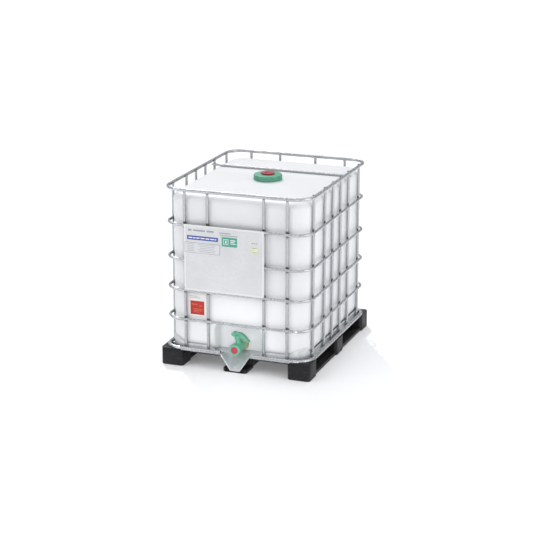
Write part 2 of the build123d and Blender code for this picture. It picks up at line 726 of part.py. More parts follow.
with BuildPart() as handle:
    with BuildSketch(Plane.XZ.offset(-STEM_Y - HANDLE_HALF_WIDTH)):
        with BuildLine():
            Spline((-30, 222), (-42, 232), (-34, 243), (-18, HANDLE_TOP))
            Line((-18, HANDLE_TOP), (10, HANDLE_TOP))
            Spline((10, HANDLE_TOP), (36, 236), (62, 212), (78, 192))
            Line((78, 192), (68, 186))
            Spline((68, 186), (50, 203), (34, 212), (20, 214))
            Line((20, 214), (-14, 214))
            Line((-14, 214), (-30, 222))
        make_face()
    extrude(amount=2 * HANDLE_HALF_WIDTH)
    with Locations((0, STEM_Y, HUB_BOTTOM)):
        Cylinder(HUB_RADIUS, 230 - HUB_BOTTOM, align=(Align.CENTER, Align.CENTER, Align.MIN))
        Cylinder(
            STEM_RADIUS,
            STEM_TOP - HUB_BOTTOM,
            align=(Align.CENTER, Align.CENTER, Align.MIN),
            mode=Mode.SUBTRACT,
        )
        Cylinder(
            SCREW_RADIUS + SCREW_FIT,
            HANDLE_TOP - HUB_BOTTOM + 5,
            align=(Align.CENTER, Align.CENTER, Align.MIN),
            mode=Mode.SUBTRACT,
        )
write(handle.part, "valve_handle")

with BuildPart() as handle_screw:
    with Locations((0, STEM_Y, HANDLE_TOP)):
        Cylinder(SCREW_HEAD, SCREW_HEAD_HEIGHT, align=(Align.CENTER, Align.CENTER, Align.MIN))
    with Locations((0, STEM_Y, STEM_TOP - HANDLE_SCREW_DEPTH)):
        Cylinder(
            SCREW_RADIUS,
            HANDLE_TOP - STEM_TOP + HANDLE_SCREW_DEPTH,
            align=(Align.CENTER, Align.CENTER, Align.MIN),
        )
write(handle_screw.part, "handle_screw")

cap_plate_back = THREAD_END - GASKET
cap_seal = turned(
    (THREAD_END, OUTLET_BORE),
    (THREAD_END, THREAD_RADIUS),
    (cap_plate_back, THREAD_RADIUS),
    (cap_plate_back, OUTLET_BORE),
)
write(cap_seal, "outlet_cap_seal")

cap_shape = turned(
    (CAP_BACK, THREAD_RADIUS + 0.4),
    (CAP_BACK, CAP_RADIUS - 2),
    (CAP_FRONT + 2, CAP_RADIUS - 2),
    (CAP_FRONT, CAP_RADIUS - 4),
    (CAP_FRONT, INSERT_SHAFT),
    (cap_plate_back, INSERT_SHAFT),
    (cap_plate_back, THREAD_RADIUS + 0.4),
)
with BuildPart() as cap:
    add(cap_shape)
    with BuildSketch(Plane.XZ.offset(-CAP_BACK)):
        with Locations((0, AXIS_Z)):
            with PolarLocations(CAP_RADIUS - 2, CAP_RIBS):
                Rectangle(4, 5)
    extrude(amount=CAP_BACK - CAP_FRONT - 3)
write(cap.part, "outlet_cap")

insert = turned(
    (cap_plate_back, 0),
    (cap_plate_back, INSERT_SHAFT),
    (CAP_FRONT, INSERT_SHAFT),
    (CAP_FRONT, INSERT_RADIUS),
    (CAP_FRONT - 1.5, INSERT_RADIUS),
    (CAP_FRONT - 2.5, INSERT_RADIUS - 1.5),
    (CAP_FRONT - 2.5, 0),
)
write(insert, "outlet_cap_disc")

# Signs --------------------------------------------------------------------------------------------

plate_back = -RING_Y - RING_RADIUS
plate_front = plate_back - PLATE_SHEET


def sheet(left, right, bottom, top, back, thickness, corner):
    """A thin upright sheet facing -Y."""
    with BuildPart() as piece:
        with BuildSketch(Plane.XZ.offset(-back)):
            with Locations(((left + right) / 2, (bottom + top) / 2)):
                RectangleRounded(right - left, top - bottom, corner)
        extrude(amount=thickness)
    return piece.part


write(
    sheet(PLATE_LEFT, PLATE_RIGHT, PLATE_BOTTOM, PLATE_TOP, plate_back, PLATE_SHEET, 4), "sign_plate"
)
write(sheet(-331, -95, 755, 821, plate_front, 0.8, 3), "nameplate")
write(sheet(-314, -107, 839, 865, plate_front, 0.4, 2), "blue_sticker")
write(sheet(-82, 19, 815, 874, plate_front, 0.4, 2), "green_sticker")
write(sheet(115, 154, 790, 824, plate_front, 0.4, 2), "yellow_sticker")
write(sheet(-326, -204, 330, 479, -BOTTLE_HALF_Y, 0.4, 2), "bottle_label")

clip_outer = RING_RADIUS + PLATE_SHEET
with BuildPart() as clips:
    for x in CLIP_X:
        for level in RING_LEVELS[2:]:
            with BuildSketch(Plane((x, -RING_Y, level), x_dir=(0, 1, 0), z_dir=(1, 0, 0))):
                with BuildLine():
                    Line((-RING_RADIUS, clip_outer), (0, clip_outer))
                    ThreePointArc((0, clip_outer), (clip_outer, 0), (0, -clip_outer))
                    Line((0, -clip_outer), (-RING_RADIUS, -clip_outer))
                    Line((-RING_RADIUS, -clip_outer), (-RING_RADIUS, -RING_RADIUS))
                    Line((-RING_RADIUS, -RING_RADIUS), (0, -RING_RADIUS))
                    ThreePointArc((0, -RING_RADIUS), (RING_RADIUS, 0), (0, RING_RADIUS))
                    Line((0, RING_RADIUS), (-RING_RADIUS, RING_RADIUS))
                    Line((-RING_RADIUS, RING_RADIUS), (-RING_RADIUS, clip_outer))
                make_face()
            extrude(amount=CLIP_WIDTH)
write(clips.part, "plate_clips")
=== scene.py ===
"""Builds the finished look of a caged 1000 litre bulk container over its CAD frame."""

import itertools
import math

import bmesh
import bpy
from mathutils import Matrix, Vector


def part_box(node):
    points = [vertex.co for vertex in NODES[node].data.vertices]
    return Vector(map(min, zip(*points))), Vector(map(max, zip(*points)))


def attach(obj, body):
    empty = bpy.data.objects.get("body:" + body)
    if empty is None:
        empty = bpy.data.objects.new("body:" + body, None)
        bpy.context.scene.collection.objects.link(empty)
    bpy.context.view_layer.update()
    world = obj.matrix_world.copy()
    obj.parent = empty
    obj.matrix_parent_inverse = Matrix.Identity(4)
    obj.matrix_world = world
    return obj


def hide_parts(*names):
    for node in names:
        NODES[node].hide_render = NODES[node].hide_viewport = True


bl_info = {
    "name": "Caged Bulk Container",
    "version": (1, 0, 0),
    "blender": (4, 5, 0),
    "location": "View3D > Sidebar > Container",
    "description": "Builds a caged bottle on a plastic pallet, with its lid, valve and signs",
    "category": "Add Mesh",
}

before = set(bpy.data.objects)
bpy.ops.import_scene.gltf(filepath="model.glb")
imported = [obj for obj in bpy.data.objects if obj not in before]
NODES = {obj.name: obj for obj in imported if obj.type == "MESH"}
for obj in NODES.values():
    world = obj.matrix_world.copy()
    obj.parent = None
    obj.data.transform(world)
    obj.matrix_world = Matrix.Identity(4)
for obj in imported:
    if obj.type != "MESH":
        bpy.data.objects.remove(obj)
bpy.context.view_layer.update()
BODY = "container"
MM = 0.001

# Brightness of the studio
SKY_WALLS = 0.20
SKY_CEILING = 1.0
FLOOR_GLOW = 0.10
FLOOR_HALF = 30.0

# The stage camera
CAMERA_PLACE = (3.740, -9.976, 3.674)
CAMERA_TILT = 73.56
CAMERA_TURN = 20.6
CAMERA_LENS = 115.34
CAMERA_SENSOR = 36.0

# Mesh clean-up: distance for joining loose triangles and angle for merging flat ones
JOIN = 1e-5
FLAT_ANGLE = 0.6
CUT_JOIN = 1e-6
MOULDED_ANGLE = 40.0

# Weld spots, as parts of the ring tube's radius and as a distance beside the post's middle
WELD_RISE = 0.62
WELD_DEPTH = 1.82
WELD_SIDE = 6.0 * MM

# The bottle's walls: height of the drawn-in band, depth of wall that moves, and the valve's recess
BAND_HEIGHT = 0.028
WALL_DEPTH = 0.06
RECESS_HALF = 0.19
RECESS_DEPTH = 0.15
RECESS_TOP = 0.32
SHOULDER_DROP = 6.0 * MM
BAND_STEP = 0.014

RING_NODES = sorted(name for name in NODES if name.startswith("cage_ring_"))
POST_NODES = sorted(name for name in NODES if name.startswith("post_"))
TUBE_NODES = RING_NODES + POST_NODES + ["cage_top_rim", "base_rail", "top_crossbar"]
FASTENER_NODES = ["crossbar_bolts", "skid_screws", "handle_screw"]
SEAL_NODES = [
    "lid_gasket",
    "vent_plug_seal",
    "valve_flange_gasket",
    "valve_seat_ring",
    "valve_stem_seal",
    "outlet_cap_seal",
]


# Settings ---------------------------------------------------------------------------------------


def length_setting(name, description, size):
    return bpy.props.FloatProperty(name=name, description=description, default=size, unit="LENGTH")


def colour_setting(name, description, colour):
    return bpy.props.FloatVectorProperty(
        name=name, description=description, default=colour, subtype="COLOR"
    )


class ContainerSizes(bpy.types.PropertyGroup):
    """Sizes of the finish work that a user would change."""

    swell: length_setting(
        "Bottle swell", "How far the bottle's walls draw in behind each cage ring", 3.0 * MM
    )
    pallet_round: length_setting("Pallet rounding", "Radius on the pallet's moulded edges", 3.5 * MM)
    fitting_round: length_setting(
        "Fitting rounding", "Radius on the edges of the lid, the valve and the cap", 1.0 * MM
    )
    weld: length_setting("Weld size", "Radius of the weld spot at each tube crossing", 3.2 * MM)
    rib_gap: length_setting("Rib spacing", "Distance between the ribs under the pallet deck", 76.0 * MM)


class ContainerColours(bpy.types.PropertyGroup):
    """Colours of the moulded and printed pieces."""

    bottle: colour_setting("Bottle", "Natural polyethylene", (0.80, 0.805, 0.82))
    pallet: colour_setting("Pallet", "Black polyethylene", (0.007, 0.007, 0.008))
    green: colour_setting("Fittings", "Lid, valve and outlet cap", (0.12, 0.41, 0.275))
    # Beige nut colour darkened to olive: partly the nut's own tone, partly painted shade of its side behind
    # the valve
    nut_with_shade: colour_setting("Nut", "Union nut behind the valve", (0.36, 0.34, 0.19))
    red: colour_setting("Plugs", "Vent plug and cap disc", (0.42, 0.035, 0.06))
    steel: colour_setting("Zinc", "Galvanised tube and sheet", (0.54, 0.55, 0.57))
    blue: colour_setting("Blue sticker", "Ground of the long sticker", (0.05, 0.09, 0.38))
    teal: colour_setting("Green sticker", "Ground of the square sticker", (0.07, 0.36, 0.26))
    yellow: colour_setting("Yellow sticker", "Ground of the small sticker", (0.72, 0.78, 0.30))
    label_red: colour_setting(
        "Red label", "Printed square of the bottle's label", (0.47, 0.022, 0.012)
    )


def sizes():
    return bpy.context.scene.container_sizes


def colours():
    return bpy.context.scene.container_colours


def ring_levels():
    """The height of each cage ring's middle."""
    return [sum(corner.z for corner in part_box(ring)) / 2 for ring in RING_NODES]


# Shader helpers ---------------------------------------------------------------------------------


def shader_node(tree, kind, **values):
    """Adds a node. A key that names a property sets it, and any other key sets an input."""
    made = tree.nodes.new(kind)
    for key, value in values.items():
        if hasattr(made, key):
            setattr(made, key, value)
        else:
            made.inputs[key.replace("_", " ").title()].default_value = value
    return made


def wire(tree, source, target):
    tree.links.new(source, target)


def new_group(name, inputs, outputs):
    """An empty shader group with float, vector or colour sockets, and its two ends."""
    group = bpy.data.node_groups.new(name, "ShaderNodeTree")
    for socket_name, kind, default in inputs:
        socket = group.interface.new_socket(socket_name, in_out="INPUT", socket_type=kind)
        if default is not None:
            socket.default_value = default
    for socket_name, kind in outputs:
        group.interface.new_socket(socket_name, in_out="OUTPUT", socket_type=kind)
    return group, group.nodes.new("NodeGroupInput"), group.nodes.new("NodeGroupOutput")


def blotch_group():
    """A soft patchy mask from two sizes of noise."""
    group, start, end = new_group(
        "Blotches",
        (
            ("Vector", "NodeSocketVector", None),
            ("Scale", "NodeSocketFloat", 6.0),
            ("Low", "NodeSocketFloat", 0.4),
            ("High", "NodeSocketFloat", 0.6),
        ),
        (("Mask", "NodeSocketFloat"),),
    )
    noise = shader_node(group, "ShaderNodeTexNoise")
    noise.inputs["Detail"].default_value = 6.0
    noise.inputs["Roughness"].default_value = 0.6
    spread = shader_node(group, "ShaderNodeMapRange", interpolation_type="SMOOTHSTEP")
    wire(group, start.outputs["Vector"], noise.inputs["Vector"])
    wire(group, start.outputs["Scale"], noise.inputs["Scale"])
    wire(group, noise.outputs["Fac"], spread.inputs["Value"])
    wire(group, start.outputs["Low"], spread.inputs["From Min"])
    wire(group, start.outputs["High"], spread.inputs["From Max"])
    wire(group, spread.outputs["Result"], end.inputs["Mask"])
    return group


def spangle_group():
    """The crystal pattern of a zinc coat: flat cells of slightly different brightness."""
    group, start, end = new_group(
        "Zinc Spangle",
        (("Vector", "NodeSocketVector", None), ("Scale", "NodeSocketFloat", 120.0)),
        (("Cell", "NodeSocketFloat"), ("Height", "NodeSocketFloat")),
    )
    warp = shader_node(group, "ShaderNodeTexNoise")
    warp.inputs["Scale"].default_value = 40.0
    blend = shader_node(group, "ShaderNodeVectorMath", operation="MULTIPLY_ADD")
    blend.inputs[1].default_value = (0.012, 0.012, 0.012)
    cells = shader_node(group, "ShaderNodeTexVoronoi", feature="F1")
    split = shader_node(group, "ShaderNodeSeparateColor")
    grain = shader_node(group, "ShaderNodeTexNoise")
    grain.inputs["Scale"].default_value = 900.0
    grain.inputs["Detail"].default_value = 2.0
    wire(group, start.outputs["Vector"], warp.inputs["Vector"])
    wire(group, warp.outputs["Color"], blend.inputs[0])
    wire(group, start.outputs["Vector"], blend.inputs[2])
    wire(group, blend.outputs["Vector"], cells.inputs["Vector"])
    wire(group, start.outputs["Scale"], cells.inputs["Scale"])
    wire(group, cells.outputs["Color"], split.inputs["Color"])
    wire(group, split.outputs["Red"], end.inputs["Cell"])
    wire(group, start.outputs["Vector"], grain.inputs["Vector"])
    wire(group, grain.outputs["Fac"], end.inputs["Height"])
    return group


def scuff_group():
    """Thin rubbed streaks that run along one direction."""
    group, start, end = new_group(
        "Scuffs",
        (
            ("Vector", "NodeSocketVector", None),
            ("Stretch", "NodeSocketVector", None),
            ("Amount", "NodeSocketFloat", 0.62),
        ),
        (("Mask", "NodeSocketFloat"),),
    )
    stretch = shader_node(group, "ShaderNodeVectorMath", operation="MULTIPLY")
    noise = shader_node(group, "ShaderNodeTexNoise")
    noise.inputs["Scale"].default_value = 1.0
    noise.inputs["Detail"].default_value = 4.0
    edge = shader_node(group, "ShaderNodeMath", operation="ADD")
    edge.inputs[1].default_value = 0.08
    spread = shader_node(group, "ShaderNodeMapRange")
    wire(group, start.outputs["Vector"], stretch.inputs[0])
    wire(group, start.outputs["Stretch"], stretch.inputs[1])
    wire(group, stretch.outputs["Vector"], noise.inputs["Vector"])
    wire(group, noise.outputs["Fac"], spread.inputs["Value"])
    wire(group, start.outputs["Amount"], spread.inputs["From Min"])
    wire(group, start.outputs["Amount"], edge.inputs[0])
    wire(group, edge.outputs["Value"], spread.inputs["From Max"])
    wire(group, spread.outputs["Result"], end.inputs["Mask"])
    return group


def dust_group():
    """Settled dust: strongest low down, in patches."""
    group, start, end = new_group(
        "Settled Dust",
        (("Vector", "NodeSocketVector", None), ("Height", "NodeSocketFloat", 0.12)),
        (("Mask", "NodeSocketFloat"),),
    )
    split = shader_node(group, "ShaderNodeSeparateXYZ")
    low = shader_node(group, "ShaderNodeMapRange")
    low.inputs["From Min"].default_value = 0.0
    low.inputs["To Min"].default_value = 1.0
    low.inputs["To Max"].default_value = 0.0
    noise = shader_node(group, "ShaderNodeTexNoise")
    noise.inputs["Scale"].default_value = 22.0
    noise.inputs["Detail"].default_value = 6.0
    both = shader_node(group, "ShaderNodeMath", operation="MULTIPLY", use_clamp=True)
    wire(group, start.outputs["Vector"], split.inputs["Vector"])
    wire(group, split.outputs["Z"], low.inputs["Value"])
    wire(group, start.outputs["Height"], low.inputs["From Max"])
    wire(group, start.outputs["Vector"], noise.inputs["Vector"])
    wire(group, low.outputs["Result"], both.inputs[0])
    wire(group, noise.outputs["Fac"], both.inputs[1])
    wire(group, both.outputs["Value"], end.inputs["Mask"])
    return group


def block_group():
    """A soft-edged rectangle in the X-Z plane, for printed bars and panels."""
    group, start, end = new_group(
        "Printed Block",
        (
            ("Vector", "NodeSocketVector", None),
            ("Centre X", "NodeSocketFloat", 0.0),
            ("Centre Z", "NodeSocketFloat", 0.0),
            ("Half Width", "NodeSocketFloat", 0.01),
            ("Half Height", "NodeSocketFloat", 0.01),
        ),
        (("Mask", "NodeSocketFloat"),),
    )
    split = shader_node(group, "ShaderNodeSeparateXYZ")
    wire(group, start.outputs["Vector"], split.inputs["Vector"])
    masks = []
    for axis, half in (("X", "Half Width"), ("Z", "Half Height")):
        away = shader_node(group, "ShaderNodeMath", operation="SUBTRACT")
        size = shader_node(group, "ShaderNodeMath", operation="ABSOLUTE")
        inside = shader_node(group, "ShaderNodeMath", operation="LESS_THAN")
        wire(group, split.outputs[axis], away.inputs[0])
        wire(group, start.outputs["Centre " + axis], away.inputs[1])
        wire(group, away.outputs["Value"], size.inputs[0])
        wire(group, size.outputs["Value"], inside.inputs[0])
        wire(group, start.outputs[half], inside.inputs[1])
        masks.append(inside)
    both = shader_node(group, "ShaderNodeMath", operation="MULTIPLY")
    wire(group, masks[0].outputs["Value"], both.inputs[0])
    wire(group, masks[1].outputs["Value"], both.inputs[1])
    wire(group, both.outputs["Value"], end.inputs["Mask"])
    return group


def dimple_shade_group():
    """A band above and below a level, soft at its ends, that leaves the crossing itself clear. It masks the
    painted shade in the pressed dimples of the posts.
    """
    group, start, end = new_group(
        "Dimple Shade Band",
        (
            ("Vector", "NodeSocketVector", None),
            ("Level", "NodeSocketFloat", 0.5),
            ("Near", "NodeSocketFloat", 0.009),
            ("Far", "NodeSocketFloat", 0.024),
        ),
        (("Mask", "NodeSocketFloat"),),
    )
    split = shader_node(group, "ShaderNodeSeparateXYZ")
    away = shader_node(group, "ShaderNodeMath", operation="SUBTRACT")
    size = shader_node(group, "ShaderNodeMath", operation="ABSOLUTE")
    fade = shader_node(group, "ShaderNodeMapRange", interpolation_type="SMOOTHSTEP")
    fade.inputs["To Min"].default_value = 1.0
    fade.inputs["To Max"].default_value = 0.0
    wire(group, start.outputs["Vector"], split.inputs["Vector"])
    wire(group, split.outputs["Z"], away.inputs[0])
    wire(group, start.outputs["Level"], away.inputs[1])
    wire(group, away.outputs["Value"], size.inputs[0])
    wire(group, size.outputs["Value"], fade.inputs["Value"])
    wire(group, start.outputs["Near"], fade.inputs["From Min"])
    wire(group, start.outputs["Far"], fade.inputs["From Max"])
    wire(group, fade.outputs["Result"], end.inputs["Mask"])
    return group


GROUP_MAKERS = {
    "Dimple Shade Band": dimple_shade_group,
    "Blotches": blotch_group,
    "Zinc Spangle": spangle_group,
    "Scuffs": scuff_group,
    "Settled Dust": dust_group,
    "Printed Block": block_group,
}


class Finish:
    """One material under construction, with the pieces that most finishes share."""

    def __init__(self, name, roughness, metallic=0.0):
        self.material = bpy.data.materials.new(name)
        self.material.use_nodes = True
        self.tree = self.material.node_tree
        self.shader = self.tree.nodes["Principled BSDF"]
        self.shader.inputs["Metallic"].default_value = metallic
        self.shader.inputs["Roughness"].default_value = roughness
        self.place = shader_node(self.tree, "ShaderNodeTexCoord").outputs["Object"]

    def group(self, name, **values):
        made = self.tree.nodes.new("ShaderNodeGroup")
        made.node_tree = bpy.data.node_groups.get(name) or GROUP_MAKERS[name]()
        wire(self.tree, self.place, made.inputs["Vector"])
        for key, value in values.items():
            made.inputs[key.replace("_", " ").title()].default_value = value
        return made

    def block(self, centre_x, centre_z, half_width, half_height):
        """The mask of one printed block."""
        made = self.group(
            "Printed Block",
            centre_x=centre_x,
            centre_z=centre_z,
            half_width=half_width,
            half_height=half_height,
        )
        return made.outputs["Mask"]

    def colour_mix(self, mask, first, second):
        """Mixes two colours or colour outputs by a mask, and returns the result."""
        mix = shader_node(self.tree, "ShaderNodeMix", data_type="RGBA")
        wire(self.tree, mask, mix.inputs["Factor"])
        for index, value in ((6, first), (7, second)):
            if isinstance(value, bpy.types.NodeSocket):
                wire(self.tree, value, mix.inputs[index])
            else:
                mix.inputs[index].default_value = (*value, 1.0)
        return mix.outputs[2]

    def level(self, mask, low, high):
        """Spreads a mask between two numbers."""
        spread = shader_node(self.tree, "ShaderNodeMapRange")
        wire(self.tree, mask, spread.inputs["Value"])
        spread.inputs["To Min"].default_value = low
        spread.inputs["To Max"].default_value = high
        return spread.outputs["Result"]

    def noise(self, scale, detail=3.0, stretch=None):
        made = shader_node(self.tree, "ShaderNodeTexNoise")
        made.inputs["Scale"].default_value = scale
        made.inputs["Detail"].default_value = detail
        source = self.place
        if stretch:
            pull = shader_node(self.tree, "ShaderNodeVectorMath", operation="MULTIPLY")
            pull.inputs[1].default_value = stretch
            wire(self.tree, self.place, pull.inputs[0])
            source = pull.outputs["Vector"]
        wire(self.tree, source, made.inputs["Vector"])
        return made.outputs["Fac"]

    def bump(self, height, strength, distance, after=None):
        made = shader_node(self.tree, "ShaderNodeBump")
        made.inputs["Strength"].default_value = strength
        made.inputs["Distance"].default_value = distance
        wire(self.tree, height, made.inputs["Height"])
        if after:
            wire(self.tree, after, made.inputs["Normal"])
        return made.outputs["Normal"]

    def done(self, colour=None, roughness=None, normal=None):
        for socket, name in ((colour, "Base Color"), (roughness, "Roughness"), (normal, "Normal")):
            if socket is not None:
                wire(self.tree, socket, self.shader.inputs[name])
        return self.material


def darker(colour, factor):
    return tuple(channel * factor for channel in colour)


# Finishes ---------------------------------------------------------------------------------------


def zinc_finish(name, spangle, rough_low, rough_high, metallic=0.85, lift=1.0):
    """Galvanised steel with crystals, dull patches and a fine skin."""
    finish = Finish(name, 0.4, metallic=metallic)
    steel = darker(colours().steel, lift)
    cells = finish.group("Zinc Spangle", scale=spangle)
    dull = finish.group("Blotches", scale=9.0, low=0.42, high=0.7)
    bright = finish.colour_mix(cells.outputs["Cell"], darker(steel, 0.9), darker(steel, 1.08))
    colour = finish.colour_mix(dull.outputs["Mask"], bright, darker(steel, 0.82))
    rough = finish.level(cells.outputs["Cell"], rough_low, rough_high)
    skin = finish.bump(cells.outputs["Height"], 0.08, 0.0004)
    return finish.done(colour, rough, skin)


def post_finish():
    """Tube zinc with near-black bands of painted shade in the pressed dimples beside each crossing."""
    finish = Finish("Post Zinc", 0.34, metallic=1.0)
    # Painted shade: the posts take the tube zinc darkened to 0.82, because upright tubes look darker than
    # the rings
    steel = darker(colours().steel, 0.82)
    cells = finish.group("Zinc Spangle", scale=150.0)
    bright = finish.colour_mix(cells.outputs["Cell"], darker(steel, 0.92), darker(steel, 1.06))
    dimple_shade = None
    # Painted shade: a band above and below each ring level, standing for the shadow in the pressed dimples
    for level in ring_levels():
        dimple_shade_band = finish.group("Dimple Shade Band", level=level, near=9.5 * MM, far=25.0 * MM)
        if dimple_shade is None:
            dimple_shade = dimple_shade_band.outputs["Mask"]
            continue
        both = shader_node(finish.tree, "ShaderNodeMath", operation="MAXIMUM")
        wire(finish.tree, dimple_shade, both.inputs[0])
        wire(finish.tree, dimple_shade_band.outputs["Mask"], both.inputs[1])
        dimple_shade = both.outputs["Value"]
    # The dimple bands mix the zinc towards near-black as painted shade, and also make it rougher
    colour = finish.colour_mix(finish.level(dimple_shade, 0.0, 0.85), bright, darker(steel, 0.16))
    skin = finish.bump(cells.outputs["Height"], 0.08, 0.0004)
    return finish.done(colour, finish.level(dimple_shade, 0.27, 0.5), skin)


def moulded_finish(name, colour, rough_low, rough_high):
    """Satin moulded plastic: fine grain, uneven gloss and lighter rubbed streaks."""
    finish = Finish(name, 0.4)
    patches = finish.group("Blotches", scale=14.0, low=0.35, high=0.7)
    rubbed = finish.group("Scuffs", stretch=(30.0, 30.0, 180.0), amount=0.66)
    base = finish.colour_mix(patches.outputs["Mask"], colour, darker(colour, 0.86))
    worn = finish.colour_mix(finish.level(rubbed.outputs["Mask"], 0.0, 0.35), base, darker(colour, 1.3))
    rough = finish.level(patches.outputs["Mask"], rough_low, rough_high)
    skin = finish.bump(finish.noise(500.0), 0.12, 0.0005)
    return finish.done(worn, rough, skin)


def bottle_finish():
    """Natural polyethylene: waxy, faintly wavy and a little cloudy."""
    colour = colours().bottle
    finish = Finish("Bottle Polyethylene", 0.36)
    finish.shader.inputs["Subsurface Weight"].default_value = 0.12
    finish.shader.inputs["Subsurface Radius"].default_value = (0.02, 0.02, 0.02)
    finish.shader.inputs["Specular IOR Level"].default_value = 0.45
    cloud = finish.group("Blotches", scale=3.2, low=0.3, high=0.75)
    streak = finish.group("Scuffs", stretch=(6.0, 6.0, 60.0), amount=0.6)
    tint = finish.colour_mix(cloud.outputs["Mask"], colour, darker(colour, 0.955))
    tint = finish.colour_mix(finish.level(streak.outputs["Mask"], 0.0, 0.25), tint, darker(colour, 0.93))
    rough = finish.level(cloud.outputs["Mask"], 0.3, 0.44)
    wave = finish.bump(finish.noise(5.0, 1.0), 0.2, 0.006)
    skin = finish.bump(finish.noise(260.0), 0.08, 0.0006, after=wave)
    return finish.done(tint, rough, skin)


def pallet_finish():
    """Black recycled polyethylene: pale scuffs, dust near the floor and a coarse grain."""
    colour = colours().pallet
    finish = Finish("Pallet Polyethylene", 0.5)
    finish.shader.inputs["Specular IOR Level"].default_value = 0.25
    patches = finish.group("Blotches", scale=11.0, low=0.35, high=0.75)
    rubbed = finish.group("Scuffs", stretch=(14.0, 14.0, 120.0), amount=0.6)
    dust = finish.group("Settled Dust", height=0.1)
    base = finish.colour_mix(patches.outputs["Mask"], colour, darker(colour, 1.9))
    base = finish.colour_mix(finish.level(rubbed.outputs["Mask"], 0.0, 0.3), base, (0.07, 0.07, 0.072))
    base = finish.colour_mix(finish.level(dust.outputs["Mask"], 0.0, 0.2), base, (0.12, 0.115, 0.105))
    rough = finish.level(patches.outputs["Mask"], 0.4, 0.62)
    skin = finish.bump(finish.noise(320.0), 0.25, 0.0006)
    return finish.done(base, rough, skin)


def rubber_finish():
    finish = Finish("Seal Rubber", 0.75)
    bloom = finish.group("Blotches", scale=60.0, low=0.4, high=0.7)
    colour = finish.colour_mix(bloom.outputs["Mask"], (0.02, 0.02, 0.02), (0.05, 0.05, 0.048))
    rough = finish.level(bloom.outputs["Mask"], 0.65, 0.85)
    return finish.done(colour, rough, finish.bump(finish.noise(900.0), 0.2, 0.0003))


def brushed_finish(name, colour):
    """Turned or brushed metal with fine streaks along X."""
    finish = Finish(name, 0.35, metallic=1.0)
    streaks = finish.noise(1.0, 5.0, stretch=(40.0, 400.0, 1600.0))
    tint = finish.colour_mix(streaks, darker(colour, 0.82), colour)
    rough = finish.level(streaks, 0.28, 0.45)
    return finish.done(tint, rough, finish.bump(streaks, 0.15, 0.0002))


def printed_finish(name, ground, blocks, metallic=0.0, roughness=0.45):
    """A sheet with plain printed blocks: (centre x, centre z, half width, half height, colour)."""
    finish = Finish(name, roughness, metallic=metallic)
    soft = finish.group("Blotches", scale=25.0, low=0.3, high=0.8)
    colour = finish.colour_mix(soft.outputs["Mask"], ground, darker(ground, 0.92))
    for *outline, ink in blocks:
        colour = finish.colour_mix(finish.block(*outline), colour, ink)
    rough = finish.level(soft.outputs["Mask"], roughness - 0.06, roughness + 0.1)
    return finish.done(colour, rough, finish.bump(finish.noise(400.0), 0.08, 0.0002))


def sign_finish():
    """The cage's sign plate: plain zinc with a painted highlight along its hem and faint bars of grey print
    along its top.
    """
    low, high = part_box("sign_plate")
    finish = Finish("Sign Plate Zinc", 0.4, metallic=0.55)
    steel = (0.60, 0.605, 0.612)
    cells = finish.group("Zinc Spangle", scale=70.0)
    dull = finish.group("Blotches", scale=5.0, low=0.35, high=0.75)
    colour = finish.colour_mix(cells.outputs["Cell"], darker(steel, 1.06), darker(steel, 1.14))
    colour = finish.colour_mix(dull.outputs["Mask"], colour, darker(steel, 1.02))
    highlight_hem = 11 * MM
    inner = finish.block(
        (low.x + high.x) / 2,
        (low.z + high.z) / 2,
        (high.x - low.x) / 2 - highlight_hem,
        (high.z - low.z) / 2 - highlight_hem,
    )
    # Painted highlight: the hem outside the inner block is painted lighter than the plate's middle
    colour = finish.colour_mix(inner, darker(steel, 1.22), colour)
    row = high.z - 0.034
    bars = (
        (low.x + 0.040, row, 0.012, 0.0065),
        (low.x + 0.103, row, 0.040, 0.0055),
        (low.x + 0.177, row, 0.024, 0.0055),
        (low.x + 0.275, row - 0.002, 0.036, 0.0035),
        (low.x + 0.300, row - 0.016, 0.058, 0.0028),
        (low.x + 0.455, row - 0.048, 0.005, 0.0035),
        (low.x + 0.470, row - 0.048, 0.005, 0.0035),
        (low.x + 0.485, row - 0.048, 0.005, 0.0035),
    )
    faint_ink = (0.16, 0.17, 0.2)
    for outline in bars:
        colour = finish.colour_mix(finish.level(finish.block(*outline), 0.0, 0.62), colour, faint_ink)
    rough = finish.level(cells.outputs["Cell"], 0.34, 0.46)
    return finish.done(colour, rough, finish.bump(cells.outputs["Height"], 0.2, 0.0003))


def made_once(name, maker):
    """The material of that name, made on first use."""
    return bpy.data.materials.get(name) or maker()


def tube_zinc():
    return made_once("Tube Zinc", lambda: zinc_finish("Tube Zinc", 150.0, 0.2, 0.32))


def sheet_zinc():
    return made_once(
        "Sheet Zinc", lambda: zinc_finish("Sheet Zinc", 85.0, 0.34, 0.48, metallic=0.45, lift=1.2)
    )


def green_plastic():
    return made_once(
        "Green Fitting Plastic",
        lambda: moulded_finish("Green Fitting Plastic", tuple(colours().green), 0.3, 0.42),
    )


def red_plastic():
    return made_once(
        "Red Plug Plastic", lambda: moulded_finish("Red Plug Plastic", tuple(colours().red), 0.32, 0.45)
    )


def black_plastic():
    return made_once("Pallet Polyethylene", pallet_finish)


# Mesh helpers -----------------------------------------------------------------------------------


def paint(piece, material):
    piece.data.materials.clear()
    piece.data.materials.append(material)


def finished(name, bm, material, body, replaced=(), smooth_angle=35.0):
    """Turns a bmesh into a piece that rides on its body, and may stand for CAD nodes."""
    if not bm.faces:
        raise RuntimeError(name + " has no faces")
    mesh = bpy.data.meshes.new(name)
    bm.to_mesh(mesh)
    bm.free()
    mesh.polygons.foreach_set("use_smooth", [True] * len(mesh.polygons))
    mesh.set_sharp_from_angle(angle=math.radians(smooth_angle))
    piece = bpy.data.objects.new(name, mesh)
    bpy.context.scene.collection.objects.link(piece)
    paint(piece, material)
    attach(piece, body)
    if replaced:
        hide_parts(*replaced)
    return piece


